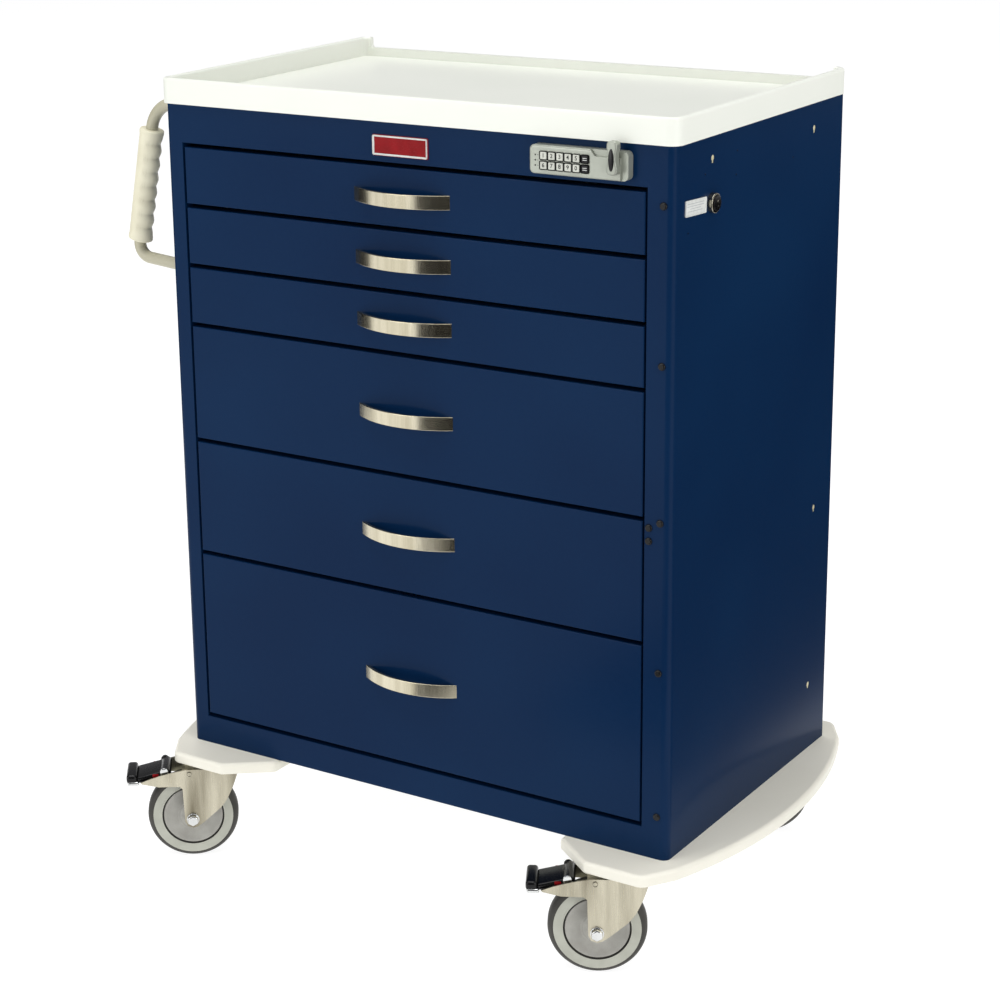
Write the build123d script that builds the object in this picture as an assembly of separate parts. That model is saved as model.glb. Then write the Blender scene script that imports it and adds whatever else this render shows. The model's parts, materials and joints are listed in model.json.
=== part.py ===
"""Medication cart: a six-drawer steel cabinet on four swivel casters, with a moulded worktop,
a keypad lock on the header, a push handle on one side and two moulded bumpers.

Built with the floor at z = 0 and the cabinet's centre line on x = 0, front face on y = 0.
The whole cart is moved at the end so that its footprint is centred on the origin.
"""

from math import atan2, degrees, sqrt
import os

from build123d import *

# Cabinet, millimetres
CAB_W = 712.0  # across the side panels
CAB_D = 440.0  # front face to back face
CAB_BOTTOM = 150.0  # underside of the cabinet above the floor
SHEET = 1.5  # carcass and drawer sheet
CORNER_R = 10.0  # bend along the upright front edges
PITCHES = (76.2, 76.2, 76.2, 152.4, 152.4, 228.6)  # drawer heights, top to bottom
HEADER_H = 50.5  # from the top gap's middle to the cabinet's top
SILL_H = 40.5  # from the cabinet's underside to the bottom gap's middle
OPEN_LEFT = 26.0 - CAB_W / 2  # sides of the drawer opening
OPEN_RIGHT = CAB_W / 2 - 34.0
GAP = 5.5  # between one drawer front and the next
SIDE_GAP = 3.0  # between a drawer front and a stile
RETURN_D = 16.0  # depth of the bent edge round the opening

# Drawers
FRONT_D = 18.0  # depth of a drawer front
BOX_D = CAB_D - 40.0
BOX_INSET = 14.0  # drawer box side, in from the end of its front
BOX_DROP = 9.0  # drawer box rim below the top of its front
BOX_LIFT = 6.0  # drawer box floor above the bottom of its front
SLIDE_RISE = 0.1  # slide above the box floor, as a share of the front's height
SLIDE_H = 24.0
SLIDE_T = 6.0  # moving slide member
SLIDE_GAP = 0.5  # between the moving and the fixed member
RAIL_T = 2.5  # fixed slide member
RAIL_START = 45.0
RAIL_L = CAB_D - 65.0
STANDOFF_L = 30.0
STANDOFF_Y = (125.0, CAB_D - 80.0)
TRAVEL = BOX_D - 20.0  # drawer travel

# Pulls
PULL_W = 135.0
PULL_OUT = 21.0
PULL_H = 17.0
PULL_T = 4.0

# Lock bar behind the right stile
BAR_T = 6.0
BAR_W = 10.0
BAR_Y = 20.0
BAR_X = OPEN_RIGHT + 2.0
LUG_L = 9.0
LUG_H = 10.0
BAR_LIFT = 8.0  # rise from open to locked
TAB_T = 3.0
TAB_H = 8.0
TAB_Y = 36.0
TAB_RISE = 6.0  # tab above the slide
TAB_GRIP = 6.0  # how far tab and lug overlap across the cart when locked
LUG_DROP = 4.0  # lug below the tab when open
BAR_FOOT = 20.0  # bar's lower end above the opening's sill
BAR_HEAD = 26.0  # bar's upper end below the worktop
ARM_H = 10.0

# Worktop
TOP_OVER = 4.0  # overhang past the cabinet on every side
TOP_RIM_H = 31.5
TOP_BACK_H = 17.5
TOP_FLOOR_T = 6.0
TOP_RIM_T = 8.0
TOP_CORNER_R = 14.0
TOP_EDGE_R = 3.5

# Bumpers
BUMP_T = 15.0
BUMP_WALL = 4.0
BUMP_SKIN = 3.0
BUMP_OVER = 51.0  # ahead of and behind the cabinet
BUMP_HALF_W = CAB_W / 2 + 62.0  # centre line to the widest point of the bow
BUMP_CORNER_X = CAB_W / 2 + 20.0
BUMP_CORNER_Y = 10.0
BUMP_FRONT_X = CAB_W / 2 - 6.0
BUMP_CHAMFER_X = CAB_W / 2 - 84.0
BUMP_INNER_X = CAB_W / 2 - 141.0
BUMP_INNER_Y = 8.0
BUMP_NOSE_R = 14.0
BUMP_HEEL_R = 8.0
BUMP_TOP_R = 5.0
BUMP_LOW_R = 2.5

# Outriggers, one under each side
OUT_W = 80.0
OUT_T = 5.0
OUT_OVER = 36.0  # ahead of and behind the cabinet
PAN_T = 2.0
FIT = 0.3  # clearance between neighbouring sheets
WINDOW_MARGIN = 1.0
WINDOW_IN_X = 6.0  # window's inner edge, in from the bumper's wall
WINDOW_OUT_X = 16.0  # window's outer edge, in from the side panel
WINDOW_Y = 22.0  # window's ends, in from the front and back faces

# Casters
WHEEL_R = 60.0
TYRE_HALF_W = 14.0
TYRE_IN_R = 39.6
SIDEWALL_R = 53.5
TREAD_HALF_W = 5.0
HUB_HALF_W = 24.0
HUB_R = 11.0
AXLE_R = 4.0
TRAIL = 36.0
CASTER_X = CAB_W / 2 - 47.0
CASTER_OUT = 9.0  # swivel centre ahead of the front face and behind the back face
FORK_R = 27.0
FORK_T = 2.5
FORK_TOP = 131.0
FORK_CLEAR = 0.5
KINGPIN_R = 6.0
RUN_FIT = 0.05  # radial running clearance
PLATE_T = 3.0
PLATE_W = 66.0
RACE_R = 27.0
PIN_HEAD_R = 10.0
PIN_HEAD_T = 3.0
PEDAL_X = -75.0  # pedal hinge, from the swivel centre
PEDAL_Z = 121.0
PEDAL_PIN_R = 3.0
PEDAL_HALF_W = 23.5
FRONT_ANGLES = (37.0, 28.5)  # heading of the left and right front casters
REAR_ANGLE = 33.0

# Push handle on the left side panel
TUBE_R = 8.0
HANDLE_Y = 100.0
HANDLE_TOP_Z = 984.0
HANDLE_LOW_Z = 766.0  # lower end at the panel
HANDLE_LOW_RISE = 11.5  # lower bend above that end
GRIP_TOP = (-CAB_W / 2 - 104.5, 948.0)
GRIP_LOW = (-CAB_W / 2 - 133.5, 799.0)
HANDLE_TOP_BEND = 42.0
HANDLE_LOW_BEND = 18.0
GRIP_W = 33.0
GRIP_T = 28.0
GRIP_RIDGES = 8
GRIP_NOTCH = 3.0
GRIP_FIT = 0.1
FLANGE_R = 15.0  # stays below the overhang of the worktop
FLANGE_T = 4.0

# Keypad lock on the header
LOCK_X = CAB_W / 2 - 114.8
LOCK_Z = 978.0
LOCK_W = 124.7
LOCK_H = 33.0
LOCK_OUT = 14.0
LOCK_CORNER_R = 6.0
KEY_X = LOCK_X - 43.2
KEY_PITCH_X = 10.5
KEY_PITCH_Z = 11.1
KEY_COLUMNS = 6
KEY_SIZE = 8.4
KEY_T = 4.0
KEY_PROUD = 1.4
KEY_FIT = 0.35
KEY_TRAVEL = 1.2
LEVER_X = LOCK_X + 47.8
LEVER_Z = 978.5
LEVER_UP = 28.5
LEVER_DOWN = 9.3
LEVER_W = 13.0
LEVER_T = 9.0
LEVER_CORNER_R = 4.5
WAIST_R = 34.0  # hollow in each long side of the lever
WAIST_D = 1.8
LEVER_CLEAR = 0.6
STEP_D = 3.0  # the fascia stands this far ahead of the housing's body
STEP_X = LEVER_X - 33.0  # where the fascia's top edge starts to slope
STEP_SLOPE = 7.0
STEP_Z = 987.0  # top of the fascia past the slope
STEP_END = LEVER_X + 6.0  # right end of the fascia
SPINDLE_R = 4.0
CAM_R = 9.0
CAM_T = 3.0

# Key lock on the right side panel
KEY_LOCK_Y = 88.0
KEY_LOCK_Z = 926.5
BEZEL_R = 11.5
BEZEL_OUT = 6.5
BARREL_R = 9.5
BARREL_L = 22.0
PLUG_R = 6.5
PLUG_OUT = 7.0

# Small features
BADGE_W = 78.0
BADGE_H = 25.0
BADGE_T = 1.2
BADGE_Z = 975.0
STUD_X = CAB_W / 2 - 14.0
STUD_R = 4.5
STUD_ROOT_R = 3.5
STUDS = (
    (STUD_X, 936.0),
    (STUD_X, 754.5),
    (STUD_X, 570.0),
    (STUD_X - 14.4, 562.5),
    (STUD_X - 14.4, 546.5),
    (STUD_X, 387.0),
    (STUD_X, 205.0),
)
KEYHOLES = ((89.0, 977.0), (CAB_D - 81.5, 971.5), (CAB_D - 50.0, 482.5), (CAB_D - 51.0, 241.0))
KEYHOLE_R = 3.6
KEYHOLE_SLOT = 4.4
KEYHOLE_L = 6.0

# Places that follow from the sizes above
CAB_TOP = CAB_BOTTOM + SILL_H + sum(PITCHES) + HEADER_H
OPEN_TOP = CAB_TOP - HEADER_H + GAP / 2
OPEN_LOW = CAB_BOTTOM + SILL_H - GAP / 2
OPEN_MID = (OPEN_LEFT + OPEN_RIGHT) / 2
HALF_W = CAB_W / 2
FRONT_LEFT = OPEN_LEFT + SIDE_GAP
FRONT_RIGHT = OPEN_RIGHT - SIDE_GAP
BOX_LEFT = FRONT_LEFT + BOX_INSET
BOX_RIGHT = FRONT_RIGHT - BOX_INSET
BUMP_LOW = CAB_BOTTOM - BUMP_T
AXLE_Z = WHEEL_R
KEYPAD_ROWS = (LOCK_Z + 5.0, LOCK_Z + 5.0 - KEY_PITCH_Z)

PARTS = {}


def block(x0, x1, y0, y1, z0, z1):
    """A box between two opposite corners."""
    low = (Align.MIN, Align.MIN, Align.MIN)
    return Pos(x0, y0, z0) * Box(x1 - x0, y1 - y0, z1 - z0, align=low)


def rod_y(x, z, radius, y0, y1):
    """A cylinder along Y."""
    return Pos(x, (y0 + y1) / 2, z) * Rot(90, 0, 0) * Cylinder(radius, y1 - y0)


def rod_x(y, z, radius, x0, x1):
    """A cylinder along X."""
    return Pos((x0 + x1) / 2, y, z) * Rot(0, 90, 0) * Cylinder(radius, x1 - x0)


def rod_z(x, y, radius, z0, z1):
    """An upright cylinder."""
    return Pos(x, y, (z0 + z1) / 2) * Cylinder(radius, z1 - z0)


def side_profile(points, half_width):
    """A solid from an outline in the XZ plane, extruded both ways along Y."""
    outline = make_face(Polyline(*[(x, 0, z) for x, z in points], close=True))
    return extrude(outline, half_width, dir=(0, 1, 0), both=True)


def drawer_span(index):
    """Lowest and highest z of a drawer front."""
    top = CAB_TOP - HEADER_H - sum(PITCHES[:index])
    return top - PITCHES[index] + GAP / 2, top - GAP / 2


def slide_z(index):
    """Middle height of a drawer's slides."""
    low, high = drawer_span(index)
    return low + BOX_LIFT + SLIDE_H / 2 + (high - low) * SLIDE_RISE


def tab_z(index):
    """Underside of a drawer's locking tab."""
    return slide_z(index) + SLIDE_H / 2 + TAB_RISE


# Carcass


def keyhole(x0, x1, y, z):
    """A keyhole cutter through a side panel: a round head and a narrower slot below it."""
    head = rod_x(y, z, KEYHOLE_R, x0, x1)
    slot = block(x0, x1, y - KEYHOLE_SLOT / 2, y + KEYHOLE_SLOT / 2, z - KEYHOLE_L, z)
    return head + slot


def opening_return():
    """The bent edge round the drawer opening."""
    outer = block(
        OPEN_LEFT - SHEET, OPEN_RIGHT + SHEET, 0, RETURN_D, OPEN_LOW - SHEET, OPEN_TOP + SHEET
    )
    return outer - block(OPEN_LEFT, OPEN_RIGHT, -1, RETURN_D + 1, OPEN_LOW, OPEN_TOP)


def cabinet_shell():
    outer = block(-HALF_W, HALF_W, 0, CAB_D, CAB_BOTTOM, CAB_TOP)
    uprights = outer.edges().filter_by(Axis.Z).group_by(Axis.Y)
    outer = fillet(uprights[0], CORNER_R)
    inner = block(
        -HALF_W + SHEET, HALF_W - SHEET, SHEET, CAB_D - SHEET, CAB_BOTTOM - 1, CAB_TOP + 1
    )
    inner = fillet(inner.edges().filter_by(Axis.Z).group_by(Axis.Y)[0], CORNER_R - SHEET)
    shell = outer - inner
    shell -= block(OPEN_LEFT, OPEN_RIGHT, -1, SHEET + 1, OPEN_LOW, OPEN_TOP)
    shell += opening_return()
    for y, z in KEYHOLES:
        shell -= keyhole(HALF_W - SHEET - 1, HALF_W + 1, y, z)
        shell -= keyhole(-HALF_W - 1, -HALF_W + SHEET + 1, y, z)
    for x, z in STUDS:
        shell -= rod_y(x, z, STUD_ROOT_R + FIT / 2, -1, SHEET + 1)
    shell -= rod_y(LEVER_X, LEVER_Z, SPINDLE_R + FIT, -1, SHEET + 1)
    shell -= rod_x(KEY_LOCK_Y, KEY_LOCK_Z, BARREL_R + FIT, HALF_W - SHEET - 1, HALF_W + 1)
    return shell


def outrigger(side):
    """A steel bar under one side that carries two casters, with its pad under the cabinet."""
    x0 = side * CASTER_X - OUT_W / 2
    x1 = side * CASTER_X + OUT_W / 2
    top = CAB_BOTTOM - BUMP_SKIN
    bar = block(x0, x1, -OUT_OVER, CAB_D + OUT_OVER, top - OUT_T, top)
    wx0, wx1, wy0, wy1 = bumper_window(side)
    margin = WINDOW_MARGIN
    pad_x1 = min(wx1 - margin, x1)
    pad_x0 = max(wx0 + margin, x0)
    pad = block(pad_x0, pad_x1, wy0 + margin, wy1 - margin, top - OUT_T, CAB_BOTTOM)
    return bar + pad


def base_frame():
    inside = HALF_W - SHEET - FIT
    low = CAB_BOTTOM
    pan = block(-inside, inside, SHEET + FIT, CAB_D - SHEET - FIT, low, low + PAN_T)
    pan = fillet(pan.edges().filter_by(Axis.Z).group_by(Axis.Y)[0], CORNER_R - SHEET)
    return pan + outrigger(-1) + outrigger(1)


def hole_plugs():
    plugs = []
    for x, z in STUDS:
        dome = Pos(x, 0, z) * Rot(90, 0, 0) * extrude(Circle(STUD_R), 2.2)
        dome = fillet(dome.edges().group_by(Axis.Y)[0], 1.6)
        plugs.append(dome + rod_y(x, z, STUD_ROOT_R, -0.5, SHEET + 2))
    return Compound(children=plugs)


def badge_plate():
    plate = Pos(OPEN_MID, 0, BADGE_Z) * Rot(90, 0, 0) * extrude(
        RectangleRounded(BADGE_W, BADGE_H, 2.0), BADGE_T
    )
    return fillet(plate.faces().sort_by(Axis.Y)[0].edges(), 0.4)


# Worktop


def worktop():
    x1 = HALF_W + TOP_OVER
    y0 = -TOP_OVER
    y1 = CAB_D + TOP_OVER
    top = CAB_TOP + TOP_RIM_H
    body = block(-x1, x1, y0, y1, CAB_TOP, top)
    body = fillet(body.edges().filter_by(Axis.Z), TOP_CORNER_R)
    floor = CAB_TOP + TOP_FLOOR_T
    tray = block(
        -x1 + TOP_RIM_T, x1 - TOP_RIM_T, y0 + TOP_RIM_T, y1 - TOP_RIM_T, floor, top + 1
    )
    tray = fillet(tray.edges().filter_by(Axis.Z), TOP_CORNER_R - TOP_RIM_T)
    body -= tray
    rim = body.edges().filter_by_position(Axis.Z, top - 0.01, top + 0.01)
    body = fillet(rim, TOP_EDGE_R)
    notch = block(
        -x1 + 2 * TOP_RIM_T, x1 - 2 * TOP_RIM_T, y1 - 2 * TOP_RIM_T, y1 + 1,
        CAB_TOP + TOP_BACK_H, top + 1,
    )
    low_corners = notch.edges().filter_by(Axis.Y).group_by(Axis.Z)[0]
    return body - fillet(low_corners, TOP_RIM_T / 2)


# Bumpers


def bumper_outline(side):
    """Plan of one bumper: a bow along the side with a corner and a chamfer at each end."""
    mid = CAB_D / 2
    reach = mid + BUMP_OVER
    corner = mid + BUMP_CORNER_Y
    inner = mid + BUMP_INNER_Y
    front = (
        (BUMP_INNER_X, -inner),
        (BUMP_CHAMFER_X, -reach),
        (BUMP_FRONT_X, -reach),
        (BUMP_CORNER_X, -corner),
    )
    low = Polyline(*front)
    bow = ThreePointArc((BUMP_CORNER_X, -corner), (BUMP_HALF_W, 0), (BUMP_CORNER_X, corner))
    high = Polyline(*[(x, -y) for x, y in reversed(front)])
    close = Line((BUMP_INNER_X, inner), (BUMP_INNER_X, -inner))
    face = make_face(low + bow + high + close)
    corners = [v for v in face.vertices() if v.X > BUMP_CHAMFER_X + 1]
    face = fillet(corners, BUMP_NOSE_R)
    ends = [v for v in face.vertices() if v.X < BUMP_CHAMFER_X + 1]
    face = fillet(ends, BUMP_HEEL_R)
    if side < 0:
        face = mirror(face, Plane.YZ)
    return Pos(0, mid) * face


def bumper_window(side):
    """Where the bumper's top is cut away under the cabinet: x0, x1, y0, y1."""
    near = BUMP_INNER_X + BUMP_WALL + WINDOW_IN_X
    far = HALF_W - WINDOW_OUT_X
    x0, x1 = sorted((side * near, side * far))
    return x0, x1, WINDOW_Y, CAB_D - WINDOW_Y


def bumper(side):
    outline = bumper_outline(side)
    body = extrude(Pos(0, 0, BUMP_LOW) * outline, BUMP_T)
    body = fillet(body.edges().group_by(Axis.Z)[-1], BUMP_TOP_R)
    body = fillet(body.edges().group_by(Axis.Z)[0], BUMP_LOW_R)
    pocket_plan = offset(outline, -BUMP_WALL - BUMP_LOW_R / 2)
    body -= extrude(Pos(0, 0, BUMP_LOW - 1) * pocket_plan, BUMP_T - BUMP_SKIN + 1)
    x0, x1, y0, y1 = bumper_window(side)
    return body - block(x0, x1, y0, y1, BUMP_LOW - 1, CAB_BOTTOM + 1)


# Drawers


def drawer_front(index):
    """A pan: the face and its bent edges, open at the back."""
    low, high = drawer_span(index)
    pan = block(FRONT_LEFT, FRONT_RIGHT, 0, FRONT_D, low, high)
    pan = fillet(pan.faces().sort_by(Axis.Y)[0].edges(), 1.2)
    t = SHEET
    return pan - block(FRONT_LEFT + t, FRONT_RIGHT - t, t, FRONT_D + 1, low + t, high - t)


def drawer_box(index):
    """The open box behind a front, its two moving slide members and its locking tab."""
    low, high = drawer_span(index)
    z0 = low + BOX_LIFT
    z1 = high - BOX_DROP
    y0 = FRONT_D
    y1 = y0 + BOX_D
    t = SHEET
    box = block(BOX_LEFT, BOX_RIGHT, y0, y1, z0, z1)
    box -= block(BOX_LEFT + t, BOX_RIGHT - t, y0 + t, y1 - t, z0 + t, z1 + 1)
    box += block(FRONT_LEFT + FIT, FRONT_RIGHT - FIT, y0, y0 + t, z0, z1)
    tab = tab_z(index)
    box += block(BOX_RIGHT - t, BAR_X - LUG_L + TAB_GRIP, TAB_Y, TAB_Y + TAB_T, tab, tab + TAB_H)
    mid = slide_z(index)
    s0 = mid - SLIDE_H / 2
    s1 = mid + SLIDE_H / 2
    left = block(BOX_LEFT - SLIDE_T, BOX_LEFT, RAIL_START, y1, s0, s1)
    right = block(BOX_RIGHT, BOX_RIGHT + SLIDE_T, RAIL_START, y1, s0, s1)
    return Compound(children=[box, left, right])


def drawer_pull(index):
    """A flat strip bowed out from the front, its ends cut flat against the face."""
    low, high = drawer_span(index)
    half = PULL_W / 2
    radius = (half * half + PULL_OUT * PULL_OUT) / (2 * PULL_OUT)
    centre = radius - PULL_OUT
    ring = Circle(radius) - Circle(radius - PULL_T)
    ring = Pos(OPEN_MID, centre) * ring
    strip = extrude(Pos(0, 0, (low + high - PULL_H) / 2) * ring, PULL_H)
    strip -= block(-CAB_W, CAB_W, 0, CAB_D, 0, CAB_TOP)
    flats = strip.edges().filter_by(GeomType.CIRCLE)
    return fillet(flats, 0.8)


def slide_rails():
    """Twelve fixed slide members, each held off its side panel by two brackets."""
    wall = HALF_W - SHEET
    members = []
    for index in range(len(PITCHES)):
        mid = slide_z(index)
        z0 = mid - SLIDE_H / 2
        z1 = mid + SLIDE_H / 2
        y1 = RAIL_START + RAIL_L
        right = BOX_RIGHT + SLIDE_T + SLIDE_GAP
        left = BOX_LEFT - SLIDE_T - SLIDE_GAP
        for side, face in ((1, right), (-1, left)):
            x0, x1 = sorted((face, face + side * RAIL_T))
            rail = block(x0, x1, RAIL_START, y1, z0, z1)
            b0, b1 = sorted((face + side * RAIL_T, side * wall))
            for y in STANDOFF_Y:
                rail += block(b0, b1, y, y + STANDOFF_L, z0 + 6, z1 - 6)
            members.append(rail)
    return Compound(children=members)


def lock_bar():
    """The upright bar that the lever lifts: its lugs then stand in front of the drawer tabs."""
    bar = block(BAR_X, BAR_X + BAR_T, BAR_Y, BAR_Y + BAR_W, OPEN_LOW + BAR_FOOT, CAB_TOP - BAR_HEAD)
    for index in range(len(PITCHES)):
        z1 = tab_z(index) - LUG_DROP
        bar += block(BAR_X - LUG_L, BAR_X, BAR_Y, BAR_Y + BAR_W, z1 - LUG_H, z1)
    arm_z = CAB_TOP - BAR_HEAD - ARM_H
    arm_x = LEVER_X - ARM_H / 2
    return bar + block(arm_x, BAR_X, BAR_Y, BAR_Y + BAR_W / 2, arm_z, arm_z + ARM_H)


# Keypad lock


def key_centres():
    """Names and places of the keys: two rows of five digits, and one dark key in each row."""
    keys = {}
    for row, z in enumerate(KEYPAD_ROWS):
        for column in range(KEY_COLUMNS - 1):
            digit = (row * (KEY_COLUMNS - 1) + column + 1) % 10
            keys["key_" + str(digit)] = (KEY_X + column * KEY_PITCH_X, z)
    last = KEY_X + (KEY_COLUMNS - 1) * KEY_PITCH_X + 0.6
    keys["key_clear"] = (last, KEYPAD_ROWS[0])
    keys["key_enter"] = (last, KEYPAD_ROWS[1])
    return keys


def upright_plate(x, z, width, height, radius, y0, y1):
    """A plate with rounded corners, facing along Y."""
    plan = Rot(90, 0, 0) * RectangleRounded(width, height, radius)
    return Pos(x, y1, z) * extrude(plan, y1 - y0, dir=(0, -1, 0))


def lock_housing():
    body = upright_plate(LOCK_X, LOCK_Z, LOCK_W, LOCK_H, LOCK_CORNER_R, -LOCK_OUT, 0)
    body = fillet(body.faces().sort_by(Axis.Y)[0].edges(), 2.5)
    size = KEY_SIZE + 2 * KEY_FIT
    depth = -LOCK_OUT + KEY_T - KEY_PROUD + KEY_TRAVEL + KEY_FIT
    for x, z in key_centres().values():
        body -= upright_plate(x, z, size, size, 1.2, -LOCK_OUT - 1, depth)
    top = LOCK_Z + LOCK_H / 2 + 1
    low = LOCK_Z - LOCK_H / 2 - 1
    end = LOCK_X + LOCK_W / 2 + 1
    outline = [
        (STEP_X, top), (STEP_X + STEP_SLOPE, STEP_Z), (STEP_END, STEP_Z), (STEP_END, low),
        (end, low), (end, top),
    ]
    step = make_face(Polyline(*[(x, -LOCK_OUT - 1, z) for x, z in outline], close=True))
    body -= extrude(step, STEP_D + 1, dir=(0, 1, 0))
    return body - rod_y(LEVER_X, LEVER_Z, SPINDLE_R + RUN_FIT, -LOCK_OUT - 1, 1)


def key_cap(x, z):
    """One key cap, dished edges, at rest proud of the housing."""
    back = -LOCK_OUT - KEY_PROUD + KEY_T
    cap = upright_plate(x, z, KEY_SIZE, KEY_SIZE, 1.0, -LOCK_OUT - KEY_PROUD, back)
    return fillet(cap.faces().sort_by(Axis.Y)[0].edges(), 0.6)


def lock_lever():
    """A tapered turn lever on a spindle, with the cam on the spindle's inner end."""
    face = -LOCK_OUT - LEVER_CLEAR
    middle = (LEVER_UP - LEVER_DOWN) / 2
    plan = Pos(0, middle) * RectangleRounded(LEVER_W, LEVER_UP + LEVER_DOWN, LEVER_CORNER_R)
    for side in (-1, 1):
        plan -= Pos(side * (LEVER_W / 2 + WAIST_R - WAIST_D), middle) * Circle(WAIST_R)
    lever = Pos(LEVER_X, face, LEVER_Z) * extrude(Rot(90, 0, 0) * plan, LEVER_T, dir=(0, -1, 0))
    lever = fillet(lever.faces().sort_by(Axis.Y)[0].edges(), 2.0)
    lever += rod_y(LEVER_X, LEVER_Z, SPINDLE_R, face - 1, SHEET + 8)
    return lever + rod_y(LEVER_X, LEVER_Z, CAM_R, SHEET + 8 - CAM_T, SHEET + 8)


def key_lock_body():
    wall = HALF_W
    bezel = rod_x(KEY_LOCK_Y, KEY_LOCK_Z, BEZEL_R, wall, wall + BEZEL_OUT)
    bezel = fillet(bezel.edges().group_by(Axis.X)[-1], 1.5)
    body = bezel + rod_x(KEY_LOCK_Y, KEY_LOCK_Z, BARREL_R, wall - BARREL_L, wall + 1)
    bore = PLUG_R + RUN_FIT
    return body - rod_x(KEY_LOCK_Y, KEY_LOCK_Z, bore, wall - BARREL_L - 1, wall + BEZEL_OUT + 1)


def key_lock_plug():
    wall = HALF_W
    plug = rod_x(KEY_LOCK_Y, KEY_LOCK_Z, PLUG_R, wall - BARREL_L, wall + PLUG_OUT)
    slot = block(
        wall + PLUG_OUT - 4, wall + PLUG_OUT + 1, KEY_LOCK_Y - 0.8, KEY_LOCK_Y + 0.8,
        KEY_LOCK_Z - 4, KEY_LOCK_Z + 4,
    )
    return plug - slot


# Push handle


def handle_axis():
    """Bend points of the tube's centre line in its XZ plane: panel, top, bottom, panel."""
    dx = GRIP_LOW[0] - GRIP_TOP[0]
    dz = GRIP_LOW[1] - GRIP_TOP[1]
    top_x = GRIP_TOP[0] + dx / dz * (HANDLE_TOP_Z - GRIP_TOP[1])
    low_z = HANDLE_LOW_Z + HANDLE_LOW_RISE
    low_x = GRIP_TOP[0] + dx / dz * (low_z - GRIP_TOP[1])
    return (-HALF_W, HANDLE_TOP_Z), (top_x, HANDLE_TOP_Z), (low_x, low_z), (-HALF_W, HANDLE_LOW_Z)


def handle_tube():
    start, top, low, end = handle_axis()
    points = [(x, HANDLE_Y, z) for x, z in (start, top, low, end)]
    path = FilletPolyline(*points, radius=[HANDLE_TOP_BEND, HANDLE_LOW_BEND])
    section = Plane(origin=points[0], z_dir=(-1, 0, 0)) * Circle(TUBE_R)
    tube = sweep(section, path)
    tube -= block(-HALF_W, -HALF_W + 40, 0, CAB_D, 0, CAB_TOP)
    for x, z in (start, end):
        disc = rod_x(HANDLE_Y, z, FLANGE_R, x - FLANGE_T, x)
        tube += fillet(disc.edges().group_by(Axis.X)[0], 1.5)
    return tube


def handle_grip():
    """A sleeve on the upright run, oval in section, notched for the fingers on its inner side."""
    dx = GRIP_LOW[0] - GRIP_TOP[0]
    dz = GRIP_LOW[1] - GRIP_TOP[1]
    length = sqrt(dx * dx + dz * dz)
    lean = degrees(atan2(-dx, -dz))
    sleeve = Ellipse(GRIP_W / 2, GRIP_T / 2) - Circle(TUBE_R + GRIP_FIT)
    sleeve = extrude(sleeve, length)
    pitch = length / GRIP_RIDGES
    notch_r = pitch * 0.62
    for index in range(1, GRIP_RIDGES):
        z = pitch * index
        x = GRIP_W / 2 - GRIP_NOTCH + notch_r
        sleeve -= Pos(x, 0, z) * Rot(90, 0, 0) * Cylinder(notch_r, GRIP_T)
    return Pos(GRIP_LOW[0], HANDLE_Y, GRIP_LOW[1]) * Rot(0, lean, 0) * sleeve


# Casters. Each is made with its swivel axis on z, its heading along +x and its axle along y.


def caster_mount():
    """The fixed half: top plate, bearing race and kingpin with its head under the fork."""
    top = CAB_BOTTOM - BUMP_SKIN - OUT_T
    half = PLATE_W / 2
    race_low = FORK_TOP + FORK_CLEAR
    head_top = FORK_TOP - FORK_T - FORK_CLEAR
    mount = block(-half, half, -half, half, top - PLATE_T, top)
    mount += rod_z(0, 0, RACE_R, race_low, top - PLATE_T)
    mount += rod_z(0, 0, KINGPIN_R, head_top - 1, race_low + 1)
    return mount + rod_z(0, 0, PIN_HEAD_R, head_top - PIN_HEAD_T, head_top)


def fork_plan(radius):
    """Plan of the fork: straight sides and a round nose at the swivel."""
    back = 120.0
    return Circle(radius) + Pos(-back / 2, 0) * Rectangle(back, 2 * radius)


def fork_outline(braked):
    """Side view of the fork. A braked fork has two long arms that carry the pedal."""
    leg = [
        (FORK_R, FORK_TOP),
        (FORK_R, 122),
        (18, 101),
        (10, 86),
        (1, 75),
        (-TRAIL + 14, AXLE_Z - 5),
        (-TRAIL + 6, AXLE_Z - 10.5),
        (-TRAIL, AXLE_Z - 12),
        (-TRAIL - 7, AXLE_Z - 9.5),
        (-TRAIL - 10.5, AXLE_Z - 3),
        (-TRAIL - 12, 104),
    ]
    if not braked:
        return leg + [(-TRAIL - 12, FORK_TOP - 6), (-TRAIL - 6, FORK_TOP)]
    arm = [
        (-TRAIL - 16, 107.5),
        (-79, 108),
        (-101, 113),
        (-103, 115),
        (-90, 120),
        (-75, 124.5),
        (-60, 128),
        (-48, FORK_TOP - 1),
        (-44, FORK_TOP),
    ]
    return leg + arm


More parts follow.
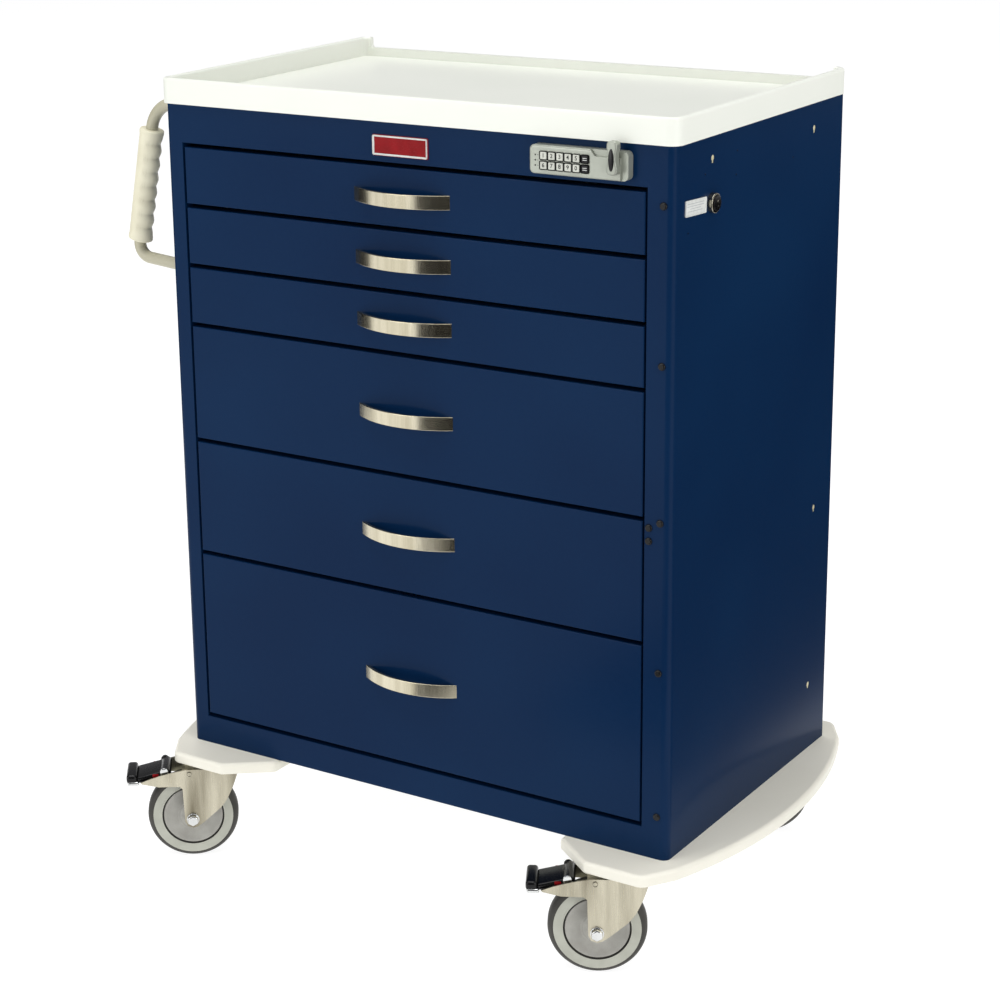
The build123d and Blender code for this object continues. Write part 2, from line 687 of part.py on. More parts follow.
def caster_fork(braked):
    """Bent sheet fork, and the axle bolt and its nut as separate solids."""
    plan = fork_plan(FORK_R) - fork_plan(FORK_R - FORK_T)
    wall = extrude(plan, FORK_TOP)
    crown = extrude(Pos(0, 0, FORK_TOP - FORK_T) * fork_plan(FORK_R), FORK_T)
    crown -= block(-200, -TRAIL - 12, -FORK_R, FORK_R, 0, CAB_BOTTOM)
    fork = (wall + crown) & side_profile(fork_outline(braked), FORK_R + 1)
    fork -= rod_z(0, 0, KINGPIN_R + RUN_FIT, FORK_TOP - 2 * FORK_T, FORK_TOP + 1)
    fork -= rod_y(-TRAIL, AXLE_Z, AXLE_R + RUN_FIT, -FORK_R - 1, FORK_R + 1)
    for side in (-1, 1):
        y0, y1 = sorted((side * (FORK_R - 0.5), side * (FORK_R + 1)))
        fork += rod_y(-TRAIL - 2.4, FORK_TOP - 6, 3, y0, y1)
    shank = rod_y(-TRAIL, AXLE_Z, AXLE_R, -FORK_R - 2, FORK_R + 6)
    head = Pos(-TRAIL, -FORK_R, AXLE_Z) * Rot(90, 0, 0) * extrude(RegularPolygon(7.5, 6), 5)
    head = head & rod_y(-TRAIL, AXLE_Z, 7.2, -FORK_R - 6, -FORK_R + 1)
    nut = Pos(-TRAIL, FORK_R, AXLE_Z) * Rot(-90, 0, 0) * extrude(RegularPolygon(7.5, 6), 6)
    pieces = [fork, shank + head + nut]
    if braked:
        pieces.append(rod_y(PEDAL_X, PEDAL_Z, PEDAL_PIN_R, -FORK_R + FORK_T, FORK_R - FORK_T))
    return Compound(children=pieces)


def wheel_core():
    """Dished wheel centre with a long hub."""
    half = TYRE_HALF_W
    outline = Polyline(
        (0, -HUB_HALF_W), (HUB_R, -HUB_HALF_W), (HUB_R + 4, -half + 3), (34, -half + 3),
        (37, -half), (TYRE_IN_R, -half), (TYRE_IN_R, half), (37, half), (34, half - 3),
        (HUB_R + 4, half - 3), (HUB_R, HUB_HALF_W), (0, HUB_HALF_W), close=True,
    )
    core = revolve(Rot(90, 0, 0) * make_face(outline), Axis.Z)
    core = core - Cylinder(AXLE_R + RUN_FIT, 3 * HUB_HALF_W)
    return Pos(-TRAIL, 0, AXLE_Z) * Rot(90, 0, 0) * core


def wheel_tyre():
    """Tyre with flat sidewalls and a rounded tread."""
    half = TYRE_HALF_W
    low = Polyline((TYRE_IN_R, half), (TYRE_IN_R, -half), (SIDEWALL_R, -half))
    mid_r = (SIDEWALL_R + WHEEL_R) / 2 + 1.6
    mid_w = (half + TREAD_HALF_W) / 2 + 1.6
    shoulder = ThreePointArc((SIDEWALL_R, -half), (mid_r, -mid_w), (WHEEL_R, -TREAD_HALF_W))
    tread = Line((WHEEL_R, -TREAD_HALF_W), (WHEEL_R, TREAD_HALF_W))
    other = ThreePointArc((WHEEL_R, TREAD_HALF_W), (mid_r, mid_w), (SIDEWALL_R, half))
    close = Line((SIDEWALL_R, half), (TYRE_IN_R, half))
    face = make_face(low + shoulder + tread + other + close)
    tyre = revolve(Rot(90, 0, 0) * face, Axis.Z)
    return Pos(-TRAIL, 0, AXLE_Z) * Rot(90, 0, 0) * tyre


def brake_pedal():
    """The pedal between the fork's arms: a raised ramp and a wide toe beyond them."""
    ramp = [
        (-106, 113), (-96, 115), (-84, 114), (-66, 114), (-52, 121.5), (-52, 126),
        (-62, 130), (-70, 133.5), (-80, 134), (-88, 129), (-106, 123.5),
    ]
    ramp = side_profile(ramp, PEDAL_HALF_W - 2)
    toe = [
        (-121, 113), (-107, 109), (-105, 113), (-105, 123.5), (-108, 127), (-119, 126),
        (-122, 123),
    ]
    toe = side_profile(toe, PEDAL_HALF_W + 2)
    toe = fillet(toe.edges().filter_by(Axis.Y), 1.0)
    pedal = ramp + toe
    return pedal - rod_y(PEDAL_X, PEDAL_Z, PEDAL_PIN_R + RUN_FIT, -FORK_R, FORK_R)


def caster_places():
    """Name, x, y, heading and whether it is braked, for each caster."""
    back = CAB_D + CASTER_OUT
    return (
        ("front_left", -CASTER_X, -CASTER_OUT, FRONT_ANGLES[0], True),
        ("front_right", CASTER_X, -CASTER_OUT, FRONT_ANGLES[1], True),
        ("rear_left", -CASTER_X, back, REAR_ANGLE, False),
        ("rear_right", CASTER_X, back, REAR_ANGLE, False),
    )


def build_parts():
    """Every node of the cart, in the cabinet's own frame."""
    PARTS["cabinet_shell"] = cabinet_shell()
    PARTS["base_frame"] = base_frame()
    PARTS["worktop"] = worktop()
    PARTS["bumper_left"] = bumper(-1)
    PARTS["bumper_right"] = bumper(1)
    PARTS["hole_plugs"] = hole_plugs()
    PARTS["badge_plate"] = badge_plate()
    PARTS["slide_rails"] = slide_rails()
    PARTS["lock_bar"] = lock_bar()
    PARTS["lock_housing"] = lock_housing()
    PARTS["lock_lever"] = lock_lever()
    for name, (x, z) in key_centres().items():
        PARTS[name] = key_cap(x, z)
    PARTS["key_lock_body"] = key_lock_body()
    PARTS["key_lock_plug"] = key_lock_plug()
    PARTS["handle_tube"] = handle_tube()
    PARTS["handle_grip"] = handle_grip()
    for index in range(len(PITCHES)):
        name = "drawer_" + str(index + 1)
        PARTS[name + "_front"] = drawer_front(index)
        PARTS[name + "_box"] = drawer_box(index)
        PARTS[name + "_pull"] = drawer_pull(index)
    mounts = []
    for name, x, y, heading, braked in caster_places():
        place = Pos(x, y, 0)
        turned = place * Rot(0, 0, heading)
        mounts.append(place * caster_mount())
        PARTS["fork_" + name] = turned * caster_fork(braked)
        PARTS["wheel_" + name] = turned * wheel_core()
        PARTS["tyre_" + name] = turned * wheel_tyre()
        if braked:
            PARTS["brake_pedal_" + name.split("_")[1]] = turned * brake_pedal()
    PARTS["caster_mounts"] = Compound(children=mounts)


def centring():
    """The move that centres the cart's footprint on the origin."""
    boxes = [shape.bounding_box() for shape in PARTS.values()]
    x = (min(b.min.X for b in boxes) + max(b.max.X for b in boxes)) / 2
    y = (min(b.min.Y for b in boxes) + max(b.max.Y for b in boxes)) / 2
    return Pos(-x, -y, 0)


build_parts()
SHIFT = centring()
os.makedirs("parts", exist_ok=True)
for node, shape in PARTS.items():
    export_step(SHIFT * shape, "parts/" + node + ".step")
print(len(PARTS), "nodes, cart moved by", SHIFT.position)
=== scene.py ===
"""Medication cart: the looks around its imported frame.

The frame's own nodes get procedural finishes. The tyres, the wheel centres, the handle grip, the
brake pedals, the axle bolts, the key legends, the small trim on the header and the side panel, and
the stage are modelled here.
"""

import json
import math

import bmesh
import bpy
from mathutils import Matrix, Vector


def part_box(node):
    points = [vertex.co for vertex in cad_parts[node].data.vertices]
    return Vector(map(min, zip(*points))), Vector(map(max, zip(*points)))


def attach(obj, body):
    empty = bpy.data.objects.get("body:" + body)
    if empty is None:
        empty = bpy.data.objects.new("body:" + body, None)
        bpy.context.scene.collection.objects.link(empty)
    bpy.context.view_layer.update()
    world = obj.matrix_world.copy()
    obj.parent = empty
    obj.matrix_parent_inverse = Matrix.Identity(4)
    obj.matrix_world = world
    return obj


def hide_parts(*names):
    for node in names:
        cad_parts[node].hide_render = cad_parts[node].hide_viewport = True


bl_info = {
    "name": "Medication Cart Looks",
    "version": (1, 0, 0),
    "blender": (4, 5, 0),
    "location": "View3D > Sidebar > Cart",
    "description": "Finishes and modelled pieces for a medication cart",
    "category": "Object",
}

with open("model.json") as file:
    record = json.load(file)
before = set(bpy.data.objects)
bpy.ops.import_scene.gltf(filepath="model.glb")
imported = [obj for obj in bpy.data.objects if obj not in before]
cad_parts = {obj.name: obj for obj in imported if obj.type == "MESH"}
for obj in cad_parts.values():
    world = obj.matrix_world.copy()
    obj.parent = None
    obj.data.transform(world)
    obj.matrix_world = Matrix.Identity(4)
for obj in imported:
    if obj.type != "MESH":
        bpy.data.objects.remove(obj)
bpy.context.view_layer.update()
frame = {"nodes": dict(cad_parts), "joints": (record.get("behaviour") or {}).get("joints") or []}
NODES = frame["nodes"]
JOINTS = {joint["name"]: joint for joint in frame["joints"]}
CORNERS = ("front_left", "front_right", "rear_left", "rear_right")
BRAKED = ("left", "right")
DIGITS = "1234567890"
DRAWERS = range(1, 7)

MM = 0.001
SHELL_LOW, SHELL_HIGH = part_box("cabinet_shell")
FRONT_Y = SHELL_LOW.y
SIDE_X = SHELL_HIGH.x

# Casters, in each one's own frame. The axle trails the swivel, and the washers and rivets stand
# this far out along it from the wheel's middle
AXLE_X = -36 * MM
AXLE_Z = 60 * MM
WASHER_OUT = 27.4 * MM
RIVET_OUT = 28.1 * MM
ENDS = ((-1, "near"), (1, "far"))

# Handle grip: how far its axis leans and rises, its oval section, and the rings along it
GRIP_LEAN = 29.0
GRIP_RISE = 149.0
GRIP_WIDE = 33 * MM
GRIP_THICK = 28 * MM
GRIP_RINGS = 56

# Side panel, in millimetres behind the front face and above the floor
LABEL_PLACE = (48.3, 928.3)
LABEL_TILT = -3.0
LABEL_LINES = ((4.6, 40), (1.8, 40), (-1.0, 26), (-3.8, 34))  # rise and length
PINHOLES = ((150.6, 975.9), (148.3, 948.7), (299.8, 945.2), (70.8, 961.1), (31.4, 901.4))
KEYHOLES = ((89.0, 977.0), (358.5, 971.5), (390.0, 482.5), (389.0, 241.0))

# Keypad: the lamps stand one above the other beside the keys
LAMP_IN = 8.2 * MM
LAMP_RISES = (5.1, -0.8, -6.7)
SURROUND_SIZE = 10.3 * MM

# View: place in metres, turn in degrees, lens in millimetres, shift as a share of the width
VIEW_PLACE = (1.6198, -2.5415, 1.4516)
VIEW_AZIMUTH = 34.102
VIEW_DOWN = 16.758
VIEW_ROLL = -1.173
VIEW_LENS = 87.87
VIEW_SHIFT = (0.100, -0.045)


# Finishes. Most are a surface's own colour, but some paint light: on the pulls and the forks the drift
# is painted reflection bands, the pale keyhole plates are painted light, and the tread rubber is also
# painted shade inside the tyres' bore. Each has two colours that drift into each other (colour,
# drift_colour), the size of the drift, the size and height of the grain in millimetres, and the lowest
# and highest roughness (rough). Some also have metallic, specular, flakes for a flaky grain, stretch
# and banded for how the grain and the drift are drawn out along x, y and z (banded draws the drift into
# the painted reflection bands), and mottle for how much the grain shows in the colour.

FINISHES = {
    # Polyester powder coat: an even semi-gloss skin with the faintest orange peel
    "navy_powder_coat": dict(
        colour="#082344", drift_colour="#0A284A", drift=320, grain=5.0, height=0.006,
        rough=(0.18, 0.24), specular=0.07,
    ),
    # The same coat in grey on the drawer boxes, a little duller
    "grey_powder_coat": dict(
        colour="#A9ADAF", drift_colour="#9CA0A3", drift=180, grain=5.0, height=0.01,
        rough=(0.35, 0.45),
    ),
    # Vacuum-formed ABS: smooth and glossy, a little warm, with slow waves in the sheet
    "white_abs": dict(
        colour="#EEF0E7", drift_colour="#E9ECE2", drift=260, grain=12.0, height=0.0,
        rough=(0.28, 0.28), specular=0.4, mottle=0.05,
    ),
    # Moulded bumper plastic: a shade creamier, with a fine spark-eroded grain
    "ivory_bumper_plastic": dict(
        colour="#F5F2E5", drift_colour="#F0EDDF", drift=120, grain=2.2, height=0.006,
        rough=(0.34, 0.44),
    ),
    # Brushed stainless steel on the pulls: fine streaks across the strip, mirror-like along it. The
    # darker bands of the drift along the strip are painted reflection
    "brushed_stainless": dict(
        colour="#D9D2BB", drift_colour="#B4AC94", drift=22, grain=0.6, height=0.002,
        rough=(0.16, 0.26), metallic=1.0, stretch=(1.0, 1.0, 0.02), banded=(1.0, 1.0, 0.01),
    ),
    # Satin nickel plate on pressed steel: warm grey, with dark and pale bands up and down that are
    # painted reflection
    "satin_nickel": dict(
        colour="#C9C3AF", drift_colour="#7F7866", drift=26, grain=1.0, height=0.0015,
        rough=(0.24, 0.34), metallic=1.0, stretch=(1.0, 1.0, 0.05), banded=(1.0, 1.0, 0.12),
        mottle=0.1,
    ),
    # Zinc plate: pale, slightly blotched where the bath ran unevenly
    "zinc_plate": dict(
        colour="#C6C8C4", drift_colour="#A9ABA2", drift=18, grain=1.5, height=0.01,
        rough=(0.30, 0.45), metallic=1.0,
    ),
    # Plates behind the keyholes: pale and bright, painted light seen through the keyholes
    "yellow_zinc": dict(
        colour="#EFE8C4", drift_colour="#D8CFA4", drift=6, grain=0.8, height=0.002,
        rough=(0.30, 0.42), metallic=0.3,
    ),
    # Polished chrome: near mirror, with the faintest haze
    "chrome_plate": dict(
        colour="#E2E3E2", drift_colour="#CFD0CF", drift=30, grain=1.0, height=0.001,
        rough=(0.06, 0.14), metallic=1.0,
    ),
    # Bright nickel round the key lock: darker and warmer than chrome
    "bright_nickel": dict(
        colour="#A8A394", drift_colour="#8E8A7C", drift=14, grain=1.0, height=0.002,
        rough=(0.12, 0.22), metallic=1.0,
    ),
    # Metallic lacquer on die cast: a flaky silver that looks satin
    "silver_lacquer": dict(
        colour="#ABAFA4", drift_colour="#9DA196", drift=30, grain=0.6, height=0.004,
        rough=(0.28, 0.40), metallic=0.45, flakes=True,
    ),
    # Black nylon, lightly textured
    "black_nylon": dict(
        colour="#08080A", drift_colour="#0E0E10", drift=25, grain=1.0, height=0.004,
        rough=(0.20, 0.30), specular=0.30,
    ),
    # Silver-coated digit keys, a shade paler than the housing
    "silver_keys": dict(
        colour="#C9CBC1", drift_colour="#BCBEB4", drift=12, grain=0.8, height=0.003,
        rough=(0.40, 0.50), metallic=0.2,
    ),
    # Print on the keys, the label and the housing
    "dark_print": dict(
        colour="#121314", drift_colour="#1A1B1C", drift=5, grain=0.5, height=0.001,
        rough=(0.45, 0.55), specular=0.3,
    ),
    "pale_print": dict(
        colour="#DDDFDB", drift_colour="#D2D4D0", drift=6, grain=0.5, height=0.001,
        rough=(0.40, 0.50),
    ),
    # Red enamel filled into the plate
    "red_enamel": dict(
        colour="#8E1218", drift_colour="#7C0C12", drift=20, grain=1.5, height=0.002,
        rough=(0.20, 0.30), specular=0.12,
    ),
    # Epoxy coat on the handle tube
    "cream_epoxy": dict(
        colour="#C2BEA6", drift_colour="#B2AE97", drift=60, grain=2.0, height=0.008,
        rough=(0.26, 0.36),
    ),
    # Soft vinyl grip: cream, matt, slightly pebbled
    "pebbled_vinyl": dict(
        colour="#ECE8CF", drift_colour="#E2DDC3", drift=35, grain=1.3, height=0.015,
        rough=(0.42, 0.54),
    ),
    # Thermoplastic tread, darker than the sidewall. On the faces inside the bore, next to the wheel
    # centre, the same dark rubber is painted shade in the gap
    "thermoplastic_rubber": dict(
        colour="#393834", drift_colour="#45433F", drift=16, grain=1.2, height=0.02,
        rough=(0.50, 0.64), specular=0.35,
    ),
    # Side of the tyre, paler than the tread, with turned rings
    "sidewall_rubber": dict(
        colour="#BBBCB0", drift_colour="#B0B1A5", drift=22, grain=1.2, height=0.01,
        rough=(0.42, 0.52), specular=0.35,
    ),
    # Glass-filled nylon wheel centre: grey with a slow swirl from the gate
    "grey_nylon": dict(
        colour="#AEADA6", drift_colour="#9A9891", drift=26, grain=1.5, height=0.01,
        rough=(0.34, 0.46), specular=0.4,
    ),
}

NODE_FINISHES = {
    "cabinet_shell": "navy_powder_coat",
    "base_frame": "zinc_plate",
    "worktop": "white_abs",
    "bumper_left": "ivory_bumper_plastic",
    "bumper_right": "ivory_bumper_plastic",
    "hole_plugs": "black_nylon",
    "badge_plate": "red_enamel",
    "slide_rails": "zinc_plate",
    "lock_bar": "zinc_plate",
    "lock_housing": "silver_lacquer",
    "lock_lever": "silver_lacquer",
    "key_clear": "black_nylon",
    "key_enter": "black_nylon",
    "key_lock_body": "bright_nickel",
    "key_lock_plug": "black_nylon",
    "handle_tube": "cream_epoxy",
    "caster_mounts": "zinc_plate",
}
NODE_FINISHES.update({"key_" + digit: "silver_keys" for digit in DIGITS})
NODE_FINISHES.update({"fork_" + corner: "satin_nickel" for corner in CORNERS})
for drawer in DRAWERS:
    NODE_FINISHES[f"drawer_{drawer}_front"] = "navy_powder_coat"
    NODE_FINISHES[f"drawer_{drawer}_box"] = "grey_powder_coat"
    NODE_FINISHES[f"drawer_{drawer}_pull"] = "brushed_stainless"


def linear_colour(hex_colour):
    """A hex sRGB colour as linear red, green, blue and full alpha."""
    channels = []
    for start in (1, 3, 5):
        value = int(hex_colour[start:start + 2], 16) / 255
        low = value <= 0.04045
        channels.append(value / 12.92 if low else ((value + 0.055) / 1.055) ** 2.4)
    return (*channels, 1.0)


def add_node(tree, kind, settings=None, links=None):
    """Adds a node, sets its properties and sockets, and links its inputs."""
    node = tree.nodes.new(kind)
    for key, value in (settings or {}).items():
        if isinstance(key, str) and hasattr(node, key):
            setattr(node, key, value)
        else:
            node.inputs[key].default_value = value
    for key, source in (links or {}).items():
        tree.links.new(source, node.inputs[key])
    return node


MADE = {}


def finish_material(name):
    """The material of one finish, made once."""
    if name in MADE:
        return MADE[name]
    spec = FINISHES[name]
    material = MADE[name] = bpy.data.materials.new(name)
    material.use_nodes = True
    tree = material.node_tree
    shader = tree.nodes["Principled BSDF"]
    place = add_node(tree, "ShaderNodeTexCoord")
    bands = add_node(
        tree, "ShaderNodeMapping", {"Scale": spec.get("banded", (1.0, 1.0, 1.0))},
        {"Vector": place.outputs["Object"]},
    )
    drift = add_node(
        tree, "ShaderNodeTexNoise",
        {"Scale": 1 / (spec["drift"] * MM), "Detail": 2.0, "Roughness": 0.5},
        {"Vector": bands.outputs["Vector"]},
    )
    mapping = add_node(
        tree, "ShaderNodeMapping", {"Scale": spec.get("stretch", (1.0, 1.0, 1.0))},
        {"Vector": place.outputs["Object"]},
    )
    if spec.get("flakes"):
        grain = add_node(
            tree, "ShaderNodeTexVoronoi", {"Scale": 1 / (spec["grain"] * MM)},
            {"Vector": mapping.outputs["Vector"]},
        )
    else:
        grain = add_node(
            tree, "ShaderNodeTexNoise", {"Scale": 1 / (spec["grain"] * MM), "Detail": 2.0},
            {"Vector": mapping.outputs["Vector"]},
        )
    height = grain.outputs[0]
    both = add_node(
        tree, "ShaderNodeMath", {"operation": "MULTIPLY_ADD", 1: spec.get("mottle", 0.2)},
        {0: height, 2: drift.outputs["Fac"]},
    )
    spread = add_node(
        tree, "ShaderNodeMapRange", {"From Min": 0.42, "From Max": 0.78}, {"Value": both.outputs[0]}
    )
    first, second = linear_colour(spec["colour"]), linear_colour(spec["drift_colour"])
    colour = add_node(
        tree, "ShaderNodeMix", {"data_type": "RGBA", 6: first, 7: second},
        {0: spread.outputs["Result"]},
    )
    low, high = spec["rough"]
    shader.inputs["Roughness"].default_value = low
    if high > low:
        rough = add_node(
            tree, "ShaderNodeMapRange",
            {"From Min": 0.25, "From Max": 0.75, "To Min": low, "To Max": high}, {"Value": height},
        )
        tree.links.new(rough.outputs["Result"], shader.inputs["Roughness"])
    shader.inputs["Metallic"].default_value = spec.get("metallic", 0.0)
    shader.inputs["Specular IOR Level"].default_value = spec.get("specular", 0.5)
    tree.links.new(colour.outputs[2], shader.inputs["Base Color"])
    if spec["height"]:
        bump = add_node(
            tree, "ShaderNodeBump", {"Strength": 0.6, "Distance": spec["height"] * MM},
            {"Height": height},
        )
        tree.links.new(bump.outputs["Normal"], shader.inputs["Normal"])
    return material


# Modelling helpers


def deselect_all():
    """Object mode with nothing selected."""
    if bpy.context.mode != "OBJECT":
        bpy.ops.object.mode_set(mode="OBJECT")
    bpy.ops.object.select_all(action="DESELECT")


def start_edit():
    """Edit mode on the active object with nothing selected; returns its live mesh."""
    bpy.ops.object.mode_set(mode="EDIT")
    bpy.ops.mesh.select_mode(type="FACE")
    bpy.ops.mesh.select_all(action="DESELECT")
    return bmesh.from_edit_mesh(bpy.context.edit_object.data)


def select_where(elements, test):
    """Selects the faces, edges or vertices that pass a test and leaves the rest unselected."""
    bpy.ops.mesh.select_all(action="DESELECT")
    mesh = bmesh.from_edit_mesh(bpy.context.edit_object.data)
    for element in getattr(mesh, elements):
        if test(element):
            element.select_set(True)
    mesh.select_flush(True)
    bmesh.update_edit_mesh(bpy.context.edit_object.data)


def finish_piece(name, finish, body, matrix=None, smooth=35.0):
    """Names the active piece, puts its place into its mesh, finishes it and lets it ride."""
    if bpy.context.mode != "OBJECT":
        bpy.ops.object.mode_set(mode="OBJECT")
    piece = bpy.context.active_object
    bpy.ops.object.select_all(action="DESELECT")
    piece.select_set(True)
    piece.name = name
    piece.data.name = name
    if matrix is not None:
        piece.matrix_world = matrix @ piece.matrix_world
    bpy.ops.object.transform_apply(location=True, rotation=True, scale=True)
    if smooth:
        bpy.ops.object.shade_smooth_by_angle(angle=math.radians(smooth))
    if finish:
        piece.data.materials.clear()
        piece.data.materials.append(finish_material(finish))
    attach(piece, body)
    return piece


def bevelled_block(size, place, bevel, segments=3):
    """Adds a block at its size and place and rounds all its edges."""
    deselect_all()
    bpy.ops.mesh.primitive_cube_add(size=1, location=place, scale=size)
    bpy.ops.object.transform_apply(location=False, rotation=False, scale=True)
    start_edit()
    bpy.ops.mesh.select_all(action="SELECT")
    bpy.ops.mesh.bevel(offset=bevel, segments=segments, affect="EDGES")
    bpy.ops.object.mode_set(mode="OBJECT")
    return bpy.context.active_object


def disc(radius, depth, place, axis, bevel, vertices=48):
    """Adds a round piece along an axis, with the rim of its outer face rounded."""
    deselect_all()
    bpy.ops.mesh.primitive_cylinder_add(
        vertices=vertices, radius=radius, depth=depth, location=place,
        rotation=Vector(axis).to_track_quat("Z", "Y").to_euler(),
    )
    start_edit()
    select_where("faces", lambda face: face.normal.z > 0.9)
    bpy.ops.mesh.bevel(offset=bevel, segments=3, affect="EDGES")
    bpy.ops.object.mode_set(mode="OBJECT")
    return bpy.context.active_object


def turn_steps(steps, side):
    """Draws one end of an upright round piece out through (radius, height) steps, like a lathe."""
    select_where("faces", lambda face: face.normal.z * side > 0.9 and len(face.verts) > 4)
    for radius, height in steps:
        mesh = bmesh.from_edit_mesh(bpy.context.edit_object.data)
        cap = [face for face in mesh.faces if face.select][0]
        old = cap.verts[0].co
        grow = radius / math.hypot(old.x, old.y)
        rise = side * height - old.z
        bpy.ops.mesh.extrude_region_move(TRANSFORM_OT_translate={"value": (0, 0, rise)})
        bpy.ops.transform.resize(value=(grow, grow, 1), center_override=(0, 0, side * height))


# Places on the casters


def caster_matrix(corner):
    """Frame of one caster: its heading along x, its axle along y, the floor at z = 0."""
    swivel = Vector(JOINTS["swivel_" + corner]["pos_m"])
    axle = Vector(JOINTS["roll_" + corner]["axis"])
    heading = math.atan2(-axle.x, axle.y)
    return Matrix.Translation((swivel.x, swivel.y, 0)) @ Matrix.Rotation(heading, 4, "Z")


def axle_matrix(corner):
    """Frame of one wheel: its axle along z through the hub's middle."""
    axle = Vector(JOINTS["roll_" + corner]["pos_m"])
    turn = caster_matrix(corner).to_3x3().to_4x4()
    return Matrix.Translation(axle) @ turn @ Matrix.Rotation(math.pi / 2, 4, "X")


# Sizes and colours a user may change


class CartSizes(bpy.types.PropertyGroup):
    """Sizes of the modelled pieces, in metres."""

    wheel_facets: bpy.props.IntProperty(
        name="Wheel Facets", description="Sides of each wheel's circle", default=96, min=24
    )
    tread_shoulder: bpy.props.FloatProperty(
        name="Sidewall Radius", description="Where the tread's shoulder meets the sidewall",
        default=53.0 * MM, subtype="DISTANCE", unit="LENGTH",
    )
    grip_ridges: bpy.props.IntProperty(
        name="Grip Ridges", description="Finger ridges on the handle's grip", default=8, min=2
    )
    grip_notch: bpy.props.FloatProperty(
        name="Grip Notch", description="Depth between two finger ridges",
        default=3.2 * MM, subtype="DISTANCE", unit="LENGTH",
    )
    digit_height: bpy.props.FloatProperty(
        name="Digit Height", description="Height of the numbers on the keys",
        default=4.6 * MM, subtype="DISTANCE", unit="LENGTH",
    )


class CartStage(bpy.types.PropertyGroup):
    """Light and floor of the stage."""

    floor_colour: bpy.props.FloatVectorProperty(
        name="Floor Colour", description="Colour of the floor", subtype="COLOR", size=4,
        min=0.0, max=1.0, default=(0.32, 0.32, 0.32, 1.0),
    )
    floor_glow: bpy.props.FloatProperty(
        name="Floor Glow", description="Light the floor gives by itself, as a light table does",
        default=0.88,
    )
    sky_strength: bpy.props.FloatProperty(
        name="Sky Light", description="Strength of the light from all round", default=0.92
    )
    overhead_power: bpy.props.FloatProperty(
        name="Overhead Power", description="Power of the overhead softbox in watts", default=370.0
    )
    key_power: bpy.props.FloatProperty(
        name="Key Power", description="Power of the front softbox in watts", default=36.0
    )
    side_power: bpy.props.FloatProperty(
        name="Side Power", description="Power of the softbox on the right in watts", default=30.0
    )


# Operators


class CART_OT_frame_finishes(bpy.types.Operator):
    """Gives every node of the frame its procedural finish"""

    bl_idname = "cart.frame_finishes"
    bl_label = "Finish the Frame"

    def execute(self, context):
        for node, finish in NODE_FINISHES.items():
            materials = NODES[node].data.materials
            materials.clear()
            materials.append(finish_material(finish))
        return {"FINISHED"}


class CART_OT_tyres(bpy.types.Operator):
    """Turns the four tyres, with a dark tread, a pale sidewall and painted shade on the faces inside
    the bore
    """

    bl_idname = "cart.tyres"
    bl_label = "Tyres"

    def execute(self, context):
        sizes = context.scene.cart_sizes
        shoulder = sizes.tread_shoulder
        low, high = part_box("tyre_front_left")
        outer = (high.z - low.z) / 2
        deselect_all()
        bpy.ops.mesh.primitive_cylinder_add(
            vertices=sizes.wheel_facets, radius=outer, depth=10 * MM
        )
        start_edit()
        steps = (
            (outer - 0.8 * MM, 8.2 * MM),
            (outer - 2.6 * MM, 11.0 * MM),
            (outer - 4.8 * MM, 12.9 * MM),
            (shoulder, 13.7 * MM),
            (shoulder - 0.8 * MM, 13.9 * MM),
            (42.8 * MM, 13.9 * MM),
            (42.4 * MM, 14.2 * MM),
            (41.2 * MM, 14.2 * MM),
            (40.7 * MM, 13.4 * MM),
            (40.5 * MM, 11.6 * MM),
            (39.7 * MM, 10.8 * MM),
        )
        for side in (1, -1):
            turn_steps(steps, side)
        select_where("faces", lambda face: len(face.verts) > 4)
        bpy.ops.mesh.delete(type="FACE")
        bpy.ops.mesh.select_mode(type="EDGE")
        bpy.ops.mesh.select_non_manifold()
        bpy.ops.mesh.bridge_edge_loops()
        bpy.ops.mesh.select_all(action="SELECT")
        bpy.ops.mesh.normals_make_consistent(inside=False)
        bpy.ops.object.mode_set(mode="OBJECT")
        first = bpy.context.active_object
        first.data.materials.append(finish_material("thermoplastic_rubber"))
        first.data.materials.append(finish_material("sidewall_rubber"))
        for face in first.data.polygons:
            centre = face.center
            reach = math.hypot(centre.x, centre.y)
            # Faces inside the bore keep the dark rubber: painted shade in the gap between tyre and
            # wheel centre
            pale = 41.0 * MM < reach < shoulder + 0.2 * MM and abs(centre.z) > 12 * MM
            face.material_index = 1 if pale else 0
        copies_on_wheels(first, "rolling_tyre_", "tyre_")
        return {"FINISHED"}


def copies_on_wheels(first, prefix, node_prefix):
    """Places a copy of a turned piece on each wheel, where it stands for a node."""
    for corner in CORNERS:
        deselect_all()
        piece = first.copy()
        piece.data = first.data.copy()
        bpy.context.scene.collection.objects.link(piece)
        bpy.context.view_layer.objects.active = piece
        piece.matrix_world = Matrix.Identity(4)
        finish_piece(prefix + corner, None, "wheel_" + corner, axle_matrix(corner), smooth=30)
        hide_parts(node_prefix + corner)
    bpy.data.objects.remove(first)


